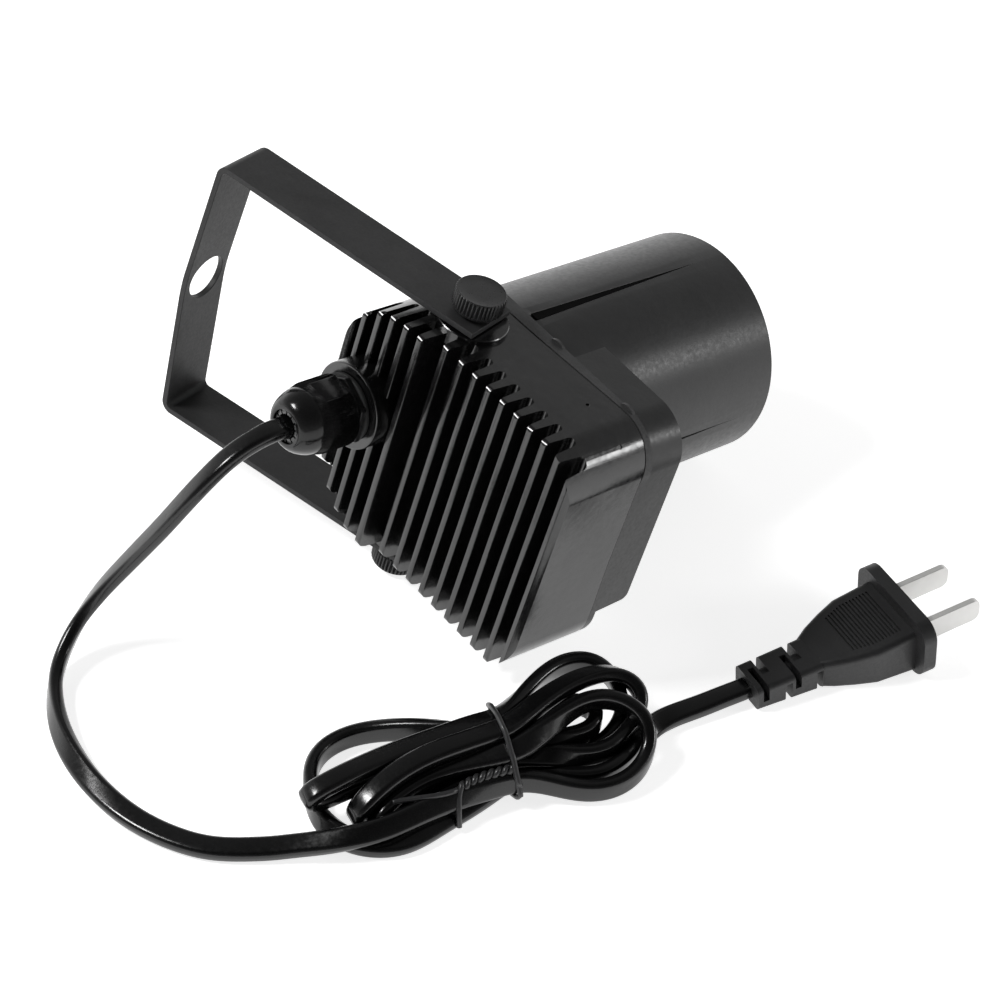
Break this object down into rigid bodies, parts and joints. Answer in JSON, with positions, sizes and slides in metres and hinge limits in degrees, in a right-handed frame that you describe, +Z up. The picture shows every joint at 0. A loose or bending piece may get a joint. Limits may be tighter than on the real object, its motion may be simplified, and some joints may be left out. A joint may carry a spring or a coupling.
{
  "type": "pinspot light",
  "caption": "Black LED pinspot light: finned die-cast head with a cylindrical snoot, swivel yoke with thumb knobs, cable gland, coiled flat lead and flat-blade plug.",
  "frame": {"origin": "centre of the bounding box of the lamp without its lead and plug, on the surface it lies on", "axes": "+Z up; -Y is the way the snoot points, seen from above; +X is the side the yoke folds out to. The lamp lies on its lower knob, the snoot rim and a corner of the front casting, so the beam axis dips about 10 degrees and the head rolls about 8 degrees."},
  "size_m": [0.1756, 0.1937, 0.0882],
  "materials": {
    "black_casting": "gloss black enamel on die-cast aluminium",
    "black_nylon": "satin black nylon",
    "black_plastic": "matt black",
    "black_rubber": "matt black",
    "black_steel": "satin black powder coat on steel strip",
    "blue_wire": "blue",
    "brown_wire": "brown",
    "capacitor_can": "dark sleeve",
    "clear_acrylic": "clear",
    "cord_pvc": "satin black PVC",
    "dark_wire": "black",
    "ferrite": "grey ferrite",
    "glass": "clear",
    "gloss_plastic": "glossy black nylon",
    "green_board": "green solder mask",
    "green_terminal": "green",
    "grey_pad": "grey silicone",
    "nickel": "nickel plated brass",
    "phosphor": "yellow silicone",
    "red_wire": "red",
    "white_board": "white solder mask on aluminium",
    "yellow_tape": "yellow tape",
    "zinc_steel": "zinc plated"
  },
  "bodies": {
    "head": {"collimator_holder": "black_plastic", "collimator_lens": "clear_acrylic", "cord_hank": "cord_pvc", "cord_lead": "cord_pvc", "cord_tail": "cord_pvc", "cord_tie": "black_plastic", "driver_board": "green_board", "driver_capacitor": "capacitor_can", "driver_inductor": "ferrite", "driver_screw_1": "zinc_steel", "driver_screw_2": "zinc_steel", "driver_transformer": "yellow_tape", "front_housing": "black_casting", "front_lens": "glass", "gland_body": "black_nylon", "gland_bush": "black_rubber", "gland_clamp": "black_nylon", "gland_seal": "black_rubber", "housing_gasket": "black_rubber", "housing_screw_1": "zinc_steel", "housing_screw_2": "zinc_steel", "housing_screw_3": "zinc_steel", "housing_screw_4": "zinc_steel", "led_board": "white_board", "led_chip": "phosphor", "led_screw_1": "zinc_steel", "led_screw_2": "zinc_steel", "lens_oring": "black_rubber", "lens_retaining_ring": "black_casting", "plug_blade_1": "nickel", "plug_blade_2": "nickel", "plug_body": "black_rubber", "rear_housing": "black_casting", "terminal_block": "green_terminal", "thermal_pad": "grey_pad", "wire_led_neg": "dark_wire", "wire_led_pos": "red_wire", "wire_live": "brown_wire", "wire_neutral": "blue_wire"},
    "yoke": {"yoke": "black_steel"},
    "knob_top_washer": {"washer_top": "black_plastic"},
    "knob_top": {"knob_top": "black_plastic", "knob_stud_top": "zinc_steel"},
    "knob_bottom_washer": {"washer_bottom": "black_plastic"},
    "knob_bottom": {"knob_bottom": "black_plastic", "knob_stud_bottom": "zinc_steel"},
    "gland_nut": {"gland_nut": "gloss_plastic"}
  },
  "joints": [
    {"name": "yoke_swivel", "type": "hinge", "parent": "head", "child": "yoke", "pos_m": [-0.01101, 0.02441, 0.04123], "axis": [-0.1482, -0.1705, 0.9741], "range_deg": [-60, 45]},
    {"name": "knob_top_travel", "type": "slide", "parent": "head", "child": "knob_top_washer", "axis": [-0.1482, -0.1705, 0.9741], "range_m": [0, 0.0016]},
    {"name": "knob_top_turn", "type": "hinge", "parent": "knob_top_washer", "child": "knob_top", "pos_m": [-0.01101, 0.02441, 0.04123], "axis": [-0.1482, -0.1705, 0.9741], "range_deg": [0, 720]},
    {"name": "knob_bottom_travel", "type": "slide", "parent": "head", "child": "knob_bottom_washer", "axis": [0.1482, 0.1705, -0.9741], "range_m": [0, 0.0016]},
    {"name": "knob_bottom_turn", "type": "hinge", "parent": "knob_bottom_washer", "child": "knob_bottom", "pos_m": [-0.01101, 0.02441, 0.04123], "axis": [0.1482, 0.1705, -0.9741], "range_deg": [0, 720]},
    {"name": "gland_nut_turn", "type": "hinge", "parent": "head", "child": "gland_nut", "pos_m": [-0.00033, 0.05479, 0.05295], "axis": [0, 0.985, 0.1724], "range_deg": [0, 720]}
  ],
  "couplings": [
    {"joint": "knob_top_turn", "follows": "knob_top_travel", "rad_per_m": 7853.9},
    {"joint": "knob_bottom_turn", "follows": "knob_bottom_travel", "rad_per_m": 7853.9}
  ]
}
